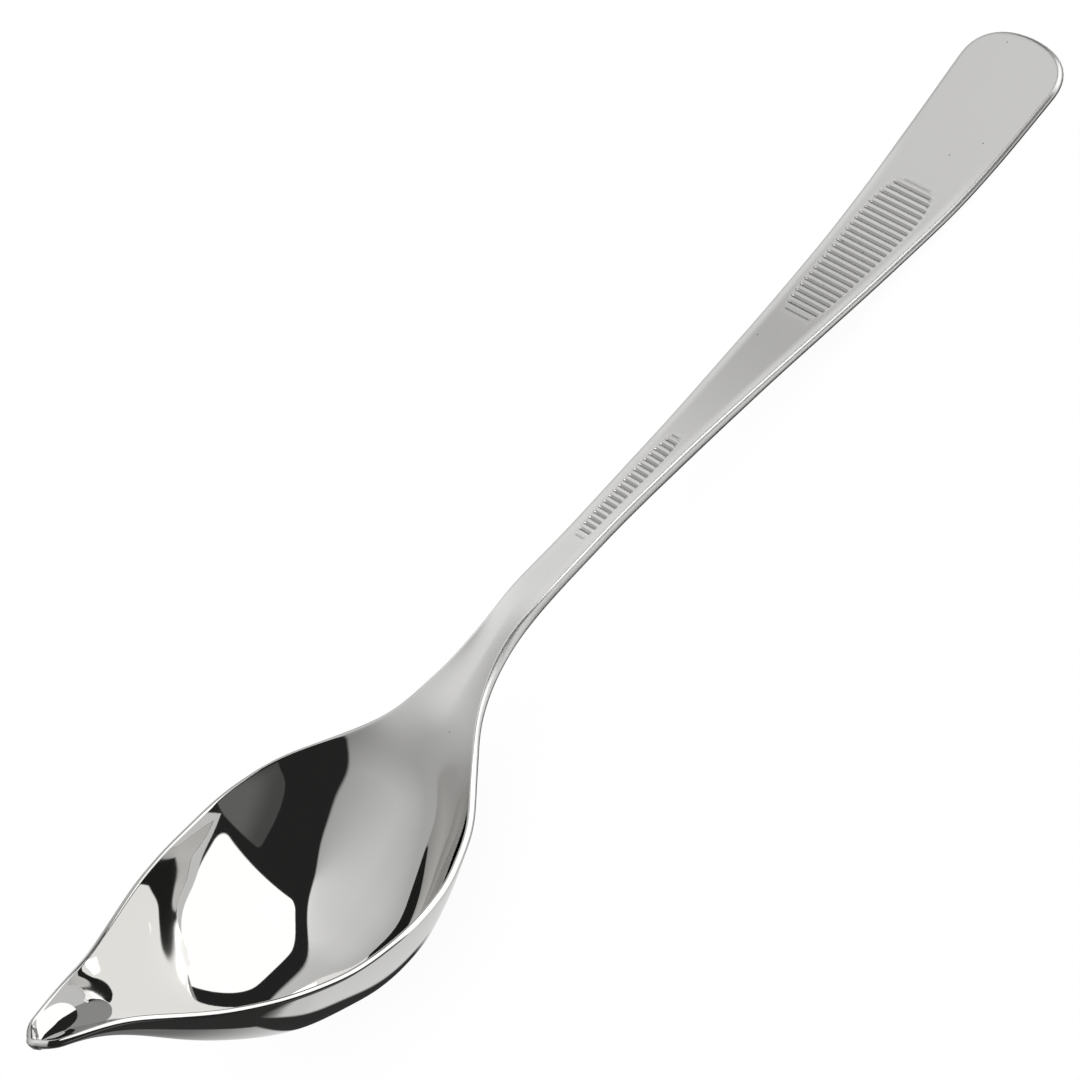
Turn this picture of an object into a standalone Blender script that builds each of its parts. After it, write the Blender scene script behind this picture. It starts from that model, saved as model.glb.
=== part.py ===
"""Saucier spoon pressed from one piece of stainless steel, lying on a table.

X runs from the spout tip to the handle end, Y across the bowl, Z up. The bowl's base and the flat
underside of the handle end both stand on Z = 0. Lengths below are in millimetres.
"""

import math

import bmesh
import bpy

MM = 0.001

# Length, and where the spoon changes along it, measured from the spout tip
LENGTH = 204.0
SPOUT_ROOT = 21.0
DEEPEST = 34.0
WIDEST = 44.0
LOWEST_EDGE = 63.0
NECK = 81.0
ARCH = 87.0
FLAT_START = 95.0
WAIST = 105.0
REST_START = 188.0

# Half widths seen from above
TIP_HALF = 2.6
SPOUT_ROOT_HALF = 15.4
BOWL_HALF = 23.2
NECK_HALF = 4.4
WAIST_HALF = 3.2
END_HALF = 10.3

# Heights above the table
TIP_EDGE = 39.6
SPOUT_ROOT_EDGE = 26.1
LOW_EDGE = 11.9
ARCH_TOP = 15.3

# How far the middle of the bowl lies below its edge
BOWL_DEPTH = 17.8

# Sheet thickness: drawn thin in the bowl, full at the neck, rolled thinner to the handle end
BOWL_SHEET = 1.1
NECK_SHEET = 1.9
END_SHEET = 1.3

# Round ends: the spout's nose, set back by the sheet that leans forward under it, and the handle's
# flattened arc
NOSE_SETBACK = 1.37
NOSE_LENGTH = 2.4
END_ARC = 6.5
END_SQUARENESS = 2.4

# Least share of the outline that the top face keeps where the wall stands up, for the narrow spout
LEAST_INNER_SHARE = 0.3

# Rounding of all sheet edges, and the angle from which an edge counts as one
EDGE_ROUND = 0.38
EDGE_ANGLE = math.radians(55)

# Pressed rib patches: rounded grooves square to the handle
GROOVE_RADIUS = 0.32
GROOVE_DEPTH = 0.24
GROOVE_SIDES = 10
LARGE_PATCH_CENTRE = 163.2
LARGE_PATCH_PITCH = 1.09
LARGE_PATCH_COUNT = 25
LARGE_PATCH_HALF = 4.85
LARGE_PATCH_TAPER = 0.09
SMALL_PATCH_CENTRE = 114.6
SMALL_PATCH_PITCH = 1.06
SMALL_PATCH_COUNT = 20
SMALL_PATCH_HALF = 1.65
SMALL_PATCH_TAPER = 0.02

# Squareness of a patch's two ends: blunt towards the bowl, rounder towards the handle end
PATCH_BLUNT_POWER = 7.0
PATCH_ROUND_POWER = 4.0

# Mesh spacing
NOSE_STEPS = 5
BOWL_STEP = 1.9
HANDLE_STEP = 4.0
END_STEPS = 8
ACROSS = 20
MERGE_DISTANCE = 0.01

STEEL_COLOUR = (0.66, 0.65, 0.64, 1.0)
STEEL_ROUGHNESS = 0.25

# Plan outline: (from tip, half width)
HALF_WIDTH = [
    (0.0, TIP_HALF),
    (6.0, 5.3),
    (11.0, 7.6),
    (SPOUT_ROOT, SPOUT_ROOT_HALF),
    (29.0, 20.2),
    (36.0, 22.5),
    (WIDEST, BOWL_HALF),
    (51.0, 22.1),
    (59.0, 17.9),
    (68.0, 10.5),
    (73.0, 7.2),
    (NECK, NECK_HALF),
    (89.0, 3.4),
    (WAIST, WAIST_HALF),
    (121.0, 3.7),
    (141.0, 5.1),
    (161.0, 7.0),
    (181.0, 9.1),
    (LENGTH, END_HALF),
]

# Side view of the sheet's edge: (from tip, height)
EDGE_HEIGHT = [
    (0.0, TIP_EDGE),
    (11.0, 33.9),
    (16.0, 29.7),
    (SPOUT_ROOT, SPOUT_ROOT_EDGE),
    (31.0, 21.0),
    (37.0, 18.53),
    (WIDEST, 16.5),
    (55.0, 13.6),
    (LOWEST_EDGE, LOW_EDGE),
    (68.0, 12.2),
    (75.0, 13.9),
    (ARCH, ARCH_TOP),
    (WAIST, 13.1),
    (136.0, 7.8),
    (151.0, 5.1),
    (166.0, 2.8),
    (178.0, 1.6),
    (REST_START, END_SHEET),
    (LENGTH, END_SHEET),
]

# How far the middle of the sheet lies below its edge: (from tip, depth)
DEPTH = [
    (0.0, 0.5),
    (5.0, 1.3),
    (9.0, 5.6),
    (16.0, 15.2),
    (25.0, 17.9),
    (DEEPEST, BOWL_DEPTH),
    (WIDEST, 14.9),
    (54.0, 10.1),
    (LOWEST_EDGE, 5.2),
    (72.0, 1.3),
    (NECK, 1.0),
    (FLAT_START, 0.0),
    (LENGTH, 0.0),
]

# Cross sections are superelliptic arcs, round in the spout and flat-bottomed at the bowl's widest
# place: (from tip, power of the superellipse) and (from tip, degrees of the arc up to the edge)
SQUARENESS = [
    (0.0, 1.9),
    (8.0, 1.5),
    (24.0, 2.1),
    (DEEPEST, 2.4),
    (WIDEST, 3.0),
    (54.0, 2.4),
    (64.0, 1.8),
    (76.0, 1.5),
]
WALL_ANGLE = [
    (0.0, 70.0),
    (8.0, 71.0),
    (24.0, 80.0),
    (DEEPEST, 59.0),
    (54.0, 58.0),
    (64.0, 49.0),
    (76.0, 33.0),
]

# Sheet thickness: (from tip, thickness)
SHEET = [
    (0.0, BOWL_SHEET),
    (71.0, BOWL_SHEET),
    (90.0, NECK_SHEET),
    (121.0, NECK_SHEET),
    (143.0, 1.5),
    (REST_START, END_SHEET),
    (LENGTH, END_SHEET),
]


def smooth_through(points, at):
    """Value at a distance on a smooth curve through the points that never overshoots them."""
    xs = [point[0] for point in points]
    ys = [point[1] for point in points]
    last = len(points) - 1
    if at <= xs[0]:
        return ys[0]
    if at >= xs[last]:
        return ys[last]
    slopes = [(ys[i + 1] - ys[i]) / (xs[i + 1] - xs[i]) for i in range(last)]

    def tangent(i):
        if i == 0:
            return slopes[0]
        if i == last:
            return slopes[last - 1]
        before, after = slopes[i - 1], slopes[i]
        if before * after <= 0:
            return 0.0
        left, right = xs[i] - xs[i - 1], xs[i + 1] - xs[i]
        weight_before, weight_after = 2 * right + left, right + 2 * left
        return (weight_before + weight_after) / (weight_before / before + weight_after / after)

    i = max(k for k in range(last) if xs[k] <= at)
    span = xs[i + 1] - xs[i]
    t = (at - xs[i]) / span
    return (
        ys[i] * (1 + 2 * t) * (1 - t) ** 2
        + tangent(i) * span * t * (1 - t) ** 2
        + ys[i + 1] * t * t * (3 - 2 * t)
        + tangent(i + 1) * span * t * t * (t - 1)
    )


def half_width(at):
    """Half width of the plan outline, closed by a round nose and a flattened round end."""
    width = smooth_through(HALF_WIDTH, at)
    into = min((at - NOSE_SETBACK) / NOSE_LENGTH, 1.0)
    width *= math.sqrt(1 - (1 - into) ** 2)
    arc_start = LENGTH - END_ARC
    if at > arc_start:
        into = min((at - arc_start) / END_ARC, 1.0)
        width *= (1 - into ** END_SQUARENESS) ** (1 / END_SQUARENESS)
    return width


def arc(at):
    """Sine of the section's arc at the edge, and the power of its superellipse."""
    steep = math.sin(math.radians(smooth_through(WALL_ANGLE, at)))
    return steep, smooth_through(SQUARENESS, at)


def arc_rise(share, steep, power):
    """Height of the arc over its lowest point, at a share of its half width."""
    return 1 - (1 - (steep * abs(share)) ** power) ** (1 / power)


def wall_slope(at):
    """Angle at which the wall stands up at the edge."""
    steep, power = arc(at)
    reach = steep ** power
    climb = reach * (1 - reach) ** (1 / power - 1) / arc_rise(1, steep, power)
    return math.atan2(climb * smooth_through(DEPTH, at), half_width(at))


def inner_half(at):
    """Half width of the top face: the outline less the thickness of the sheet where its wall stands up."""
    outline = half_width(at)
    wall = smooth_through(SHEET, at) * math.sin(wall_slope(at))
    return max(outline - wall, LEAST_INNER_SHARE * outline)


def top_height(at, share=0.0):
    """Height of the top face; share is 0 at the middle and 1 or -1 at the edges."""
    steep, power = arc(at)
    rise = arc_rise(share, steep, power) / arc_rise(1, steep, power)
    return smooth_through(EDGE_HEIGHT, at) - smooth_through(DEPTH, at) * (1 - rise)


def place(at, side):
    """Point of the top face in metres, with the origin under the middle of the length.

    Even steps of side, from -1 to 1, close up towards a steep edge.
    """
    steep, _ = arc(at)
    share = math.sin(side * math.asin(steep)) / steep
    return ((at - LENGTH / 2) * MM, inner_half(at) * share * MM, top_height(at, share) * MM)


def stations():
    """Distances of the cross sections, close together round the nose and the handle end."""
    result = []
    for i in range(NOSE_STEPS):
        result.append(NOSE_SETBACK + NOSE_LENGTH * (1 - math.cos(0.5 * math.pi * i / NOSE_STEPS)))
    nose_end = NOSE_SETBACK + NOSE_LENGTH
    bowl_steps = round((ARCH - nose_end) / BOWL_STEP)
    for i in range(bowl_steps):
        result.append(nose_end + (ARCH - nose_end) * i / bowl_steps)
    arc_start = LENGTH - END_ARC
    handle_steps = round((arc_start - ARCH) / HANDLE_STEP)
    for i in range(handle_steps):
        result.append(ARCH + (arc_start - ARCH) * i / handle_steps)
    for i in range(END_STEPS + 1):
        result.append(arc_start + END_ARC * math.sin(0.5 * math.pi * i / END_STEPS))
    return result


def steel():
    """Bright stainless steel."""
    material = bpy.data.materials.new("stainless_steel")
    material.use_nodes = True
    shader = material.node_tree.nodes["Principled BSDF"]
    shader.inputs["Base Color"].default_value = STEEL_COLOUR
    shader.inputs["Metallic"].default_value = 1.0
    shader.inputs["Roughness"].default_value = STEEL_ROUGHNESS
    return material


def new_collection(name):
    collection = bpy.data.collections.new(name)
    bpy.context.scene.collection.children.link(collection)
    return collection


def spoon_sheet(collection):
    """The top face as one grid from nose to handle end, given its thickness and round edges."""
    distances = stations()
    columns = len(distances) - 1
    work = bmesh.new()
    bmesh.ops.create_grid(work, x_segments=columns, y_segments=ACROSS, size=1.0)
    weights = work.verts.layers.deform.verify()
    for vert in work.verts:
        at = distances[round((vert.co.x + 1) / 2 * columns)]
        vert[weights][0] = smooth_through(SHEET, at) / NECK_SHEET
        vert.co = place(at, vert.co.y)
    bmesh.ops.remove_doubles(work, verts=work.verts, dist=MERGE_DISTANCE * MM)
    mesh = bpy.data.meshes.new("spoon")
    work.to_mesh(mesh)
    work.free()
    mesh.shade_smooth()
    spoon = bpy.data.objects.new("spoon", mesh)
    spoon.vertex_groups.new(name="sheet")
    collection.objects.link(spoon)
    mesh.materials.append(steel())

    shell = spoon.modifiers.new("sheet thickness", "SOLIDIFY")
    shell.thickness = NECK_SHEET * MM
    shell.offset = -1.0
    shell.use_even_offset = True
    shell.vertex_group = "sheet"
    rounding = spoon.modifiers.new("round edges", "BEVEL")
    rounding.width = EDGE_ROUND * MM
    rounding.segments = 2
    rounding.limit_method = "ANGLE"
    rounding.angle_limit = EDGE_ANGLE
    return spoon


def groove_bars(name, collection, centre, pitch, count, half, taper):
    """Bars that press one patch of grooves, shorter towards the patch's rounded ends."""
    reach = pitch * (count + 1) / 2
    work = bmesh.new()
    for i in range(count):
        offset = (i - (count - 1) / 2) * pitch
        power = PATCH_BLUNT_POWER if offset < 0 else PATCH_ROUND_POWER
        end_round = (1 - (abs(offset) / reach) ** power) ** (2 / power)
        bar_half = (half + taper * offset) * end_round
        made = bmesh.ops.create_cone(
            work,
            cap_ends=True,
            segments=GROOVE_SIDES,
            radius1=GROOVE_RADIUS * MM,
            radius2=GROOVE_RADIUS * MM,
            depth=2 * bar_half * MM,
        )
        at = centre + offset
        height = top_height(at) + GROOVE_RADIUS - GROOVE_DEPTH
        for vert in made["verts"]:
            vert.co = (
                vert.co.x + (at - LENGTH / 2) * MM,
                vert.co.z,
                height * MM - vert.co.y,
            )
    bmesh.ops.recalc_face_normals(work, faces=work.faces)
    mesh = bpy.data.meshes.new(name)
    work.to_mesh(mesh)
    work.free()
    bars = bpy.data.objects.new(name, mesh)
    bars.hide_render = True
    bars.display_type = "WIRE"
    collection.objects.link(bars)
    return bars


def press(spoon, bars):
    """Sink a patch of grooves into the spoon."""
    cut = spoon.modifiers.new(bars.name, "BOOLEAN")
    cut.operation = "DIFFERENCE"
    cut.solver = "EXACT"
    cut.object = bars


def build():
    for old in list(bpy.data.objects):
        bpy.data.objects.remove(old, do_unlink=True)
    parts = new_collection("saucier_spoon")
    cutters = new_collection("cutters")
    spoon = spoon_sheet(parts)
    large = groove_bars(
        "large_patch_bars",
        cutters,
        LARGE_PATCH_CENTRE,
        LARGE_PATCH_PITCH,
        LARGE_PATCH_COUNT,
        LARGE_PATCH_HALF,
        LARGE_PATCH_TAPER,
    )
    small = groove_bars(
        "small_patch_bars",
        cutters,
        SMALL_PATCH_CENTRE,
        SMALL_PATCH_PITCH,
        SMALL_PATCH_COUNT,
        SMALL_PATCH_HALF,
        SMALL_PATCH_TAPER,
    )
    press(spoon, large)
    press(spoon, small)


build()
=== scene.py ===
"""Looks of a one-piece stainless steel saucier spoon, lying on a pale studio floor.

The spoon is one sheet: a deep polished bowl drawn out to a raised spout, a cranked neck and a satin
handle with two pressed rib patches. X runs from the spout tip to the handle end and Z is up.
Profile sizes are in millimetres, and the finished mesh is in metres.
"""

import math

import bmesh
import bpy
from bpy.props import FloatProperty, FloatVectorProperty, PointerProperty
from mathutils import Matrix, Vector


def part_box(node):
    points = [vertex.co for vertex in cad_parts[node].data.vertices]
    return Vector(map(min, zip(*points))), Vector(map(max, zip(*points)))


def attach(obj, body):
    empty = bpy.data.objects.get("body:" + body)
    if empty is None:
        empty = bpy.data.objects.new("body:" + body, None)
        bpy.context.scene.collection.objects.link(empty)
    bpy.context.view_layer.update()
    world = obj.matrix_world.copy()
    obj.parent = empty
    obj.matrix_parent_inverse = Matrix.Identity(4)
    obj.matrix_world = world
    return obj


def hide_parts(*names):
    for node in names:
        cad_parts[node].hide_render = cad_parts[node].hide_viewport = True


bl_info = {
    "name": "Saucier spoon",
    "version": (1, 0, 0),
    "blender": (4, 5, 0),
    "location": "View3D > Sidebar > Spoon",
    "description": "Builds a polished saucier spoon and the studio it is seen in",
    "category": "Object",
}

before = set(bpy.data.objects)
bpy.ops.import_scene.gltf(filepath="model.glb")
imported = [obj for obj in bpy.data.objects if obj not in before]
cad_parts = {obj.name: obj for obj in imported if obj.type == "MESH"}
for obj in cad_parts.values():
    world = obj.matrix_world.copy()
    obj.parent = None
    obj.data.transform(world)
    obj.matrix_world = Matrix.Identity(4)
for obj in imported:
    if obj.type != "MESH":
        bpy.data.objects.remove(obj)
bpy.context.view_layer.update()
CAD_LOW, CAD_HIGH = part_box("spoon")

MM = 0.001

# Where the spoon changes along its length, in millimetres from the spout tip
SPOUT_ROOT = 21.0
DEEPEST = 34.0
WIDEST = 44.0
LOWEST_EDGE = 63.0
NECK = 81.0
ARCH = 87.0
FLAT_START = 95.0
WAIST = 105.0
REST_START = 188.0

# Round ends: setback and length of the spout's nose, how far its edge would stand over it if carried
# out to the tip, and length and squareness of the handle's end arc
NOSE_SETBACK = 1.13
NOSE_LENGTH = 2.4
NOSE_RISE = 0.55
END_ARC = 6.5
END_SQUARENESS = 2.4

# Least share of the outline that the top face keeps where the wall stands up, for the narrow spout
LEAST_INNER_SHARE = 0.3

# Rim section: round below; above, a squarer superellipse that turns round over a stretch of the handle
RIM_SQUARENESS = 3.2
RIM_ROUNDNESS = 2.0
RIM_TURN = (140.0, 175.0)
RIM_STEPS = 12

# Rib patches: centre, pitch, count, half width, taper of the half width
LARGE_PATCH = (163.2, 1.09, 25, 4.85, 0.09)
SMALL_PATCH = (114.6, 1.06, 20, 1.65, 0.02)

# Squareness of a patch's two ends, and over how many grooves each end fades out
PATCH_BLUNT_POWER = 7.0
PATCH_ROUND_POWER = 4.0
FADE_BLUNT = 2.0
FADE_ROUND = 2.0

# One pitch of a rib patch: share taken by the groove's floor, by its gentle side towards the bowl and
# by its steep side; then how far in from its ends it is full
GROOVE_FLOOR = 0.14
GROOVE_SIDES = (0.30, 0.10)
GROOVE_END = 0.50

# Shares of a pitch between which the ribs sink back to the handle beyond a patch's last groove
RIB_FADE = (0.5, 1.0)

# Painted highlight line round a patch: its half width, then how light it and the painted highlight on
# the ribs' tops are, as shares of the painted highlight along the handle's edges
OUTLINE_HIGHLIGHT_WIDTH = 0.35
OUTLINE_HIGHLIGHT_TONE = 0.6
RIB_HIGHLIGHT_TONE = 0.4

# How far the band of painted highlight along the handle's edges reaches in
PAINTED_EDGE_REACH = 1.5

# Averaging of the tables, so that the polish shows no ripples: reach to each side, number of samples,
# and by what share the outermost ones count less
AVERAGE_REACH = 3.0
AVERAGE_SAMPLES = 9
AVERAGE_TAPER = 0.9

# Mesh spacing
NOSE_STEPS = 8
BOWL_STEP = 0.8
HANDLE_STEP = 1.5
GROOVE_STEPS = 11
END_STEPS = 12
ACROSS = 52
MERGE_DISTANCE = 0.002


def smooth_through(points, at):
    """Value at a distance on a smooth curve through the points that never overshoots them."""
    xs = [point[0] for point in points]
    ys = [point[1] for point in points]
    last = len(points) - 1
    if at <= xs[0]:
        return ys[0]
    if at >= xs[last]:
        return ys[last]
    slopes = [(ys[i + 1] - ys[i]) / (xs[i + 1] - xs[i]) for i in range(last)]

    def tangent(i):
        if i == 0:
            return slopes[0]
        if i == last:
            return slopes[last - 1]
        before, after = slopes[i - 1], slopes[i]
        if before * after <= 0:
            return 0.0
        left, right = xs[i] - xs[i - 1], xs[i + 1] - xs[i]
        weight_before, weight_after = 2 * right + left, right + 2 * left
        return (weight_before + weight_after) / (weight_before / before + weight_after / after)

    i = max(k for k in range(last) if xs[k] <= at)
    span = xs[i + 1] - xs[i]
    t = (at - xs[i]) / span
    return (
        ys[i] * (1 + 2 * t) * (1 - t) ** 2
        + tangent(i) * span * t * (1 - t) ** 2
        + ys[i + 1] * t * t * (3 - 2 * t)
        + tangent(i + 1) * span * t * t * (t - 1)
    )


def gentle(points, at):
    """The smooth curve through the points, averaged over a short stretch that closes at the tip."""
    reach = min(AVERAGE_REACH, at / 2)
    total = 0.0
    weights = 0.0
    for i in range(AVERAGE_SAMPLES):
        t = 2 * i / (AVERAGE_SAMPLES - 1) - 1
        weight = 1 - AVERAGE_TAPER * abs(t)
        total += weight * smooth_through(points, at + t * reach)
        weights += weight
    return total / weights


def smooth_step(low, high, value):
    """0 below low, 1 above high, and a smooth rise between them."""
    t = min(max((value - low) / (high - low), 0.0), 1.0)
    return t * t * (3 - 2 * t)


class Section:
    """One cross section of the top face: half width, edge height, depth and the shape of its arc."""

    def __init__(self, half, edge, depth, angle, squareness):
        self.half = half
        self.edge = edge
        self.depth = depth
        self.angle = angle
        self.squareness = squareness

    def share(self, side):
        """Share of the half width at an even step across; the steps close up towards a steep edge."""
        return math.sin(side * self.angle) / math.sin(self.angle)

    def rise(self, share):
        """Share of the depth by which a superelliptic arc has risen at a share of the half width."""
        power = self.squareness
        steep = math.sin(self.angle)
        full = 1 - (1 - steep ** power) ** (1 / power)
        return (1 - (1 - (steep * abs(share)) ** power) ** (1 / power)) / full

    def height(self, share):
        return self.edge - self.depth * (1 - self.rise(share))


class SpoonProfile:
    """The spoon's outline, heights and sections along its length, in millimetres."""

    def __init__(self, shape):
        self.length = shape.length / MM
        self.bowl_bulge = shape.bowl_bulge / MM
        self.handle_bulge = shape.handle_bulge / MM
        self.groove_depth = shape.groove_depth / MM
        self.rib_height = shape.rib_height / MM
        self.arc_stop = self.length - self.handle_bulge
        self.arc_start = self.arc_stop - END_ARC
        bowl_sheet = shape.bowl_sheet / MM
        neck_sheet = shape.neck_sheet / MM
        end_sheet = shape.end_sheet / MM
        self.widths = [
            (0.0, 2.6),
            (6.0, 5.3),
            (11.0, 7.6),
            (SPOUT_ROOT, 15.4),
            (29.0, 20.2),
            (36.0, 22.5),
            (WIDEST, shape.bowl_width / MM / 2),
            (51.0, 22.1),
            (59.0, 17.9),
            (68.0, 10.5),
            (73.0, 7.2),
            (NECK, 4.4),
            (89.0, 3.4),
            (WAIST, shape.waist_width / MM / 2),
            (121.0, 3.7),
            (141.0, 5.1),
            (161.0, 7.0),
            (181.0, 9.1),
            (self.length, shape.end_width / MM / 2),
        ]
        self.edges = [
            (0.0, shape.spout_height / MM),
            (11.0, 33.9),
            (16.0, 29.7),
            (SPOUT_ROOT, 26.1),
            (31.0, 21.0),
            (37.0, 18.53),
            (WIDEST, 16.5),
            (55.0, 13.6),
            (LOWEST_EDGE, 11.9),
            (68.0, 12.2),
            (75.0, 13.9),
            (ARCH, 15.3),
            (WAIST, 13.1),
            (136.0, 7.8),
            (151.0, 5.1),
            (166.0, 2.8),
            (178.0, 1.6),
            (REST_START, end_sheet),
            (self.length, end_sheet),
        ]
        self.depths = [
            (0.0, 1.2),
            (5.0, 2.2),
            (9.0, 5.6),
            (16.0, 14.4),
            (25.0, 17.5),
            (DEEPEST, shape.bowl_depth / MM),
            (WIDEST, 15.0),
            (54.0, 10.7),
            (LOWEST_EDGE, 5.5),
            (72.0, 1.1),
            (NECK, 1.0),
            (FLAT_START, 0.0),
            (self.length, 0.0),
        ]
        self.sheets = [
            (0.0, bowl_sheet),
            (71.0, bowl_sheet),
            (90.0, neck_sheet),
            (121.0, neck_sheet),
            (143.0, 1.5),
            (REST_START, end_sheet),
            (self.length, end_sheet),
        ]
        self.angles = [
            (0.0, 70.5),
            (8.0, 73.0),
            (24.0, 83.5),
            (DEEPEST, 62.0),
            (WIDEST, 54.0),
            (54.0, 43.5),
            (64.0, 40.5),
            (76.0, 32.5),
        ]
        self.squarenesses = [
            (0.0, 2.05),
            (8.0, 1.7),
            (24.0, 2.05),
            (DEEPEST, 2.5),
            (WIDEST, 2.95),
            (54.0, 2.3),
            (64.0, 1.85),
            (76.0, 1.65),
        ]

    def sheet(self, at):
        """Thickness of the sheet."""
        return gentle(self.sheets, at)

    def bulge(self, at):
        """How far the rounded edge stands out from the sheet."""
        share = smooth_step(ARCH, WAIST, at)
        return self.bowl_bulge + (self.handle_bulge - self.bowl_bulge) * share

    def half_width(self, at):
        """Half width of the plan outline, closed by a round nose and a flattened round end."""
        width = gentle(self.widths, at)
        into = min((at - NOSE_SETBACK) / NOSE_LENGTH, 1.0)
        width *= math.sqrt(max(1 - (1 - into) ** 2, 0.0))
        if at > self.arc_start:
            into = min((at - self.arc_start) / END_ARC, 1.0)
            width *= (1 - into ** END_SQUARENESS) ** (1 / END_SQUARENESS)
        return width

    def section(self, at):
        """Cross section of the top face inside the rim."""
        outline = self.half_width(at)
        edge = gentle(self.edges, at)
        depth = gentle(self.depths, at)
        angle = math.radians(gentle(self.angles, at))
        power = gentle(self.squarenesses, at)
        bulge = self.bulge(at)
        steep = math.sin(angle)
        full = 1 - (1 - steep ** power) ** (1 / power)
        climb = depth / full * steep ** power * (1 - steep ** power) ** (1 / power - 1)
        slope = math.atan2(climb, max(outline, MERGE_DISTANCE))
        rim = self.sheet(at) * math.sin(slope) + bulge * math.cos(slope)
        half = max(outline - rim, LEAST_INNER_SHARE * outline)
        drop = min(bulge * math.sin(slope), depth)
        return Section(half, edge - drop, depth - drop, angle, power)

    def edge_and_painted_highlight(self, at, across):
        """Nearness to the handle's edge, which is also its painted highlight: 1 at the edge, 0 from the
        band's width inwards.
        """
        power = END_SQUARENESS
        half = gentle(self.widths, at) - self.bulge(at)
        end_share = max(at - self.arc_start, 0.0) / END_ARC
        side_share = max(abs(across), MERGE_DISTANCE) / half
        reach = (end_share ** power + side_share ** power) ** (1 / power)
        end_slope = (end_share / reach) ** (power - 1) / END_ARC
        side_slope = (side_share / reach) ** (power - 1) / half
        return 1 - smooth_step(0.0, PAINTED_EDGE_REACH, (1 - reach) / math.hypot(end_slope, side_slope))

    def rib_relief(self, at, across):
        """Shares of the groove's depth, the rib's height and the painted highlight lines at a point of
        the face.
        """
        for centre, pitch, count, half, taper in (LARGE_PATCH, SMALL_PATCH):
            reach = pitch * (count + 1) / 2
            if abs(at - centre) >= reach:
                continue
            phase = (at - centre) / pitch + (count - 1) / 2
            nearest = min(max(round(phase), 0), count - 1)
            offset = (nearest - (count - 1) / 2) * pitch
            power = PATCH_BLUNT_POWER if offset < 0 else PATCH_ROUND_POWER
            bar_half = (half + taper * offset) * (1 - (abs(offset) / reach) ** power) ** (2 / power)
            line = 1 - smooth_step(0.0, OUTLINE_HIGHLIGHT_WIDTH, abs(abs(across) - bar_half))
            fade = smooth_step(-1.0, FADE_BLUNT, nearest)
            fade *= smooth_step(-1.0, FADE_ROUND, count - 1 - nearest)
            inside = fade * (1 - smooth_step(bar_half - GROOVE_END, bar_half, abs(across)))
            from_floor = abs(phase - nearest)
            floor_edge = GROOVE_FLOOR / 2
            side = GROOVE_SIDES[phase > nearest]
            groove = 1 - smooth_step(floor_edge, floor_edge + side, from_floor)
            rib = 1 - smooth_step(*RIB_FADE, from_floor)
            # Painted highlight: the patch's outline and the ribs' tops are made lighter
            light = max(line * fade * OUTLINE_HIGHLIGHT_TONE, (rib - groove) * inside * RIB_HIGHLIGHT_TONE)
            return groove * inside, rib * inside, light
        return 0.0, 0.0, 0.0

    def stations(self):
        """Distances of the cross sections: close at the round ends and across the rib patches."""
        result = []
        for i in range(NOSE_STEPS):
            result.append(NOSE_SETBACK + NOSE_LENGTH * (1 - math.cos(0.5 * math.pi * i / NOSE_STEPS)))
        patches = []
        for centre, pitch, count, _, _ in (SMALL_PATCH, LARGE_PATCH):
            reach = pitch * (count + 1) / 2
            patches.append((centre - reach, centre + reach, pitch / GROOVE_STEPS))
        runs = [
            (NOSE_SETBACK + NOSE_LENGTH, FLAT_START, BOWL_STEP),
            (FLAT_START, patches[0][0], HANDLE_STEP),
            patches[0],
            (patches[0][1], patches[1][0], HANDLE_STEP),
            patches[1],
            (patches[1][1], self.arc_start, HANDLE_STEP),
        ]
        for start, stop, step in runs:
            count = round((stop - start) / step)
            for i in range(count):
                result.append(start + (stop - start) * i / count)
        for i in range(END_STEPS + 1):
            result.append(self.arc_start + END_ARC * math.sin(0.5 * math.pi * i / END_STEPS))
        return result


def length_property(name, description, millimetres):
    """A length that a user may change, given in millimetres."""
    return FloatProperty(name=name, description=description, default=millimetres * MM, unit="LENGTH")


def colour_property(name, description, colour):
    """A colour that a user may change."""
    return FloatVectorProperty(
        name=name,
        description=description,
        default=colour,
        subtype="COLOR",
        size=3,
        min=0.0,
        max=1.0,
    )


def share_property(name, description, share):
    """A value from 0 to 1 that a user may change."""
    return FloatProperty(
        name=name,
        description=description,
        default=share,
        min=0.0,
        max=1.0,
        subtype="FACTOR",
    )


class SpoonShape(bpy.types.PropertyGroup):
    """Sizes of the spoon."""

    length: length_property("Length", "Spout tip to handle end", (CAD_HIGH.x - CAD_LOW.x) / MM)
    bowl_width: length_property("Bowl width", "Width over the bowl's rim", (CAD_HIGH.y - CAD_LOW.y) / MM)
    waist_width: length_property("Waist width", "Width of the handle where it is narrowest", 6.4)
    end_width: length_property("End width", "Width of the handle's end before it is rounded", 20.6)
    spout_height: length_property("Spout height", "Edge height at the tip", CAD_HIGH.z / MM + NOSE_RISE)
    bowl_depth: length_property("Bowl depth", "Depth of the bowl below its edge", 17.5)
    bowl_sheet: length_property("Bowl sheet", "Thickness of the sheet in the bowl", 1.1)
    neck_sheet: length_property("Neck sheet", "Thickness of the sheet at the neck", 1.9)
    end_sheet: length_property("End sheet", "Thickness of the sheet at the handle end", 1.3)
    bowl_bulge: length_property("Bowl rim", "How far the bowl's rounded edge stands out", 0.38)
    handle_bulge: length_property("Handle edge", "How far the handle's rounded edge stands out", 0.7)
    groove_depth: length_property("Groove depth", "Depth of the pressed grooves under the ribs", 0.26)
    rib_height: length_property("Rib height", "How far the ribs stand over the handle", 0.05)


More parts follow.
